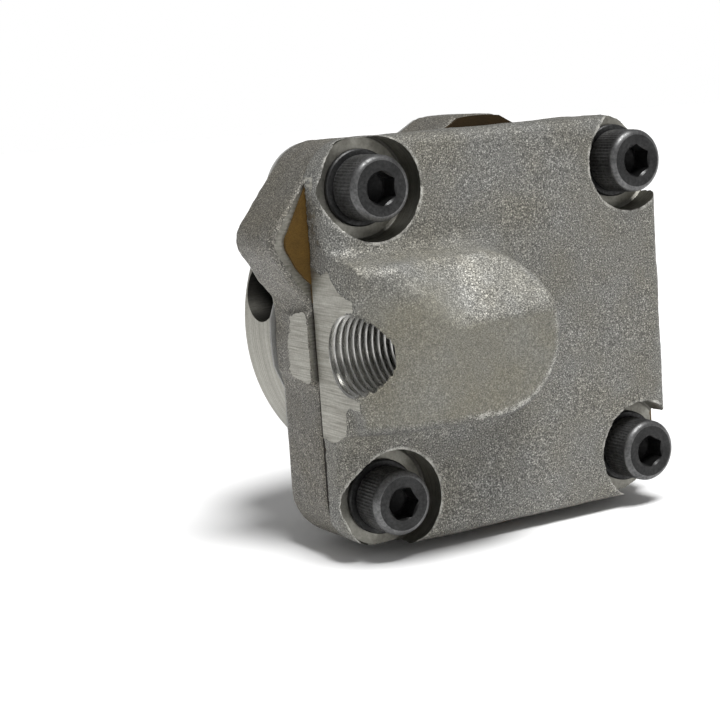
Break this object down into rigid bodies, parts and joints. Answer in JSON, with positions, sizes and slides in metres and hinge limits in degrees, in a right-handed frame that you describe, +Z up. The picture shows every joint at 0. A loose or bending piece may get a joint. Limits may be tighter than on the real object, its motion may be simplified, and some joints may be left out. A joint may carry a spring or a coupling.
{
  "type": "hydraulic gear pump",
  "caption": "External gear pump with a round pilot, a square four-screw flange, and a cover whose raised side boss holds a threaded outlet port.",
  "frame": {"origin": "on the pilot's axis, in the plane of the mounting gasket's rear face, which meets the crankcase", "axes": "+Y runs from the cover through the pilot into the crankcase, along the shafts; +X is to the right as seen from the cover; +Z is up, and the drive shaft lies above the pilot's axis"},
  "size_m": [0.093, 0.076, 0.0868],
  "materials": {
    "cast_iron": "sand-cast skin with milled faces",
    "black_oxide": "black oxide, satin",
    "tan_gasket_paper": "matte gasket paper",
    "grey_gasket_paper": "matte gasket paper",
    "gear_steel": "machined",
    "ground_steel": "ground",
    "bronze": "bored"
  },
  "bodies": {
    "housing": {"pump_body": "cast_iron", "cover": "cast_iron", "cover_gasket": "tan_gasket_paper", "mounting_gasket": "grey_gasket_paper", "cover_screw_1": "black_oxide", "cover_screw_2": "black_oxide", "cover_screw_3": "black_oxide", "cover_screw_4": "black_oxide", "screw_washer_1": "black_oxide", "screw_washer_2": "black_oxide", "screw_washer_3": "black_oxide", "screw_washer_4": "black_oxide", "dowel_pin_1": "ground_steel", "dowel_pin_2": "ground_steel", "shaft_front_bush": "bronze", "shaft_rear_bush": "bronze", "gallery_plug": "ground_steel", "idler_pin": "ground_steel"},
    "drive": {"drive_shaft": "ground_steel", "drive_gear": "gear_steel", "gear_key": "ground_steel"},
    "idler": {"idler_gear": "gear_steel"}
  },
  "joints": [
    {"name": "drive_spin", "type": "hinge", "parent": "housing", "child": "drive", "pos_m": [0, 0, 0.015], "axis": [0, 1, 0], "continuous": true},
    {"name": "idler_spin", "type": "hinge", "parent": "housing", "child": "idler", "pos_m": [0, 0, -0.015], "axis": [0, 1, 0], "continuous": true}
  ],
  "couplings": [
    {"joint": "idler_spin", "follows": "drive_spin", "ratio": -1}
  ]
}
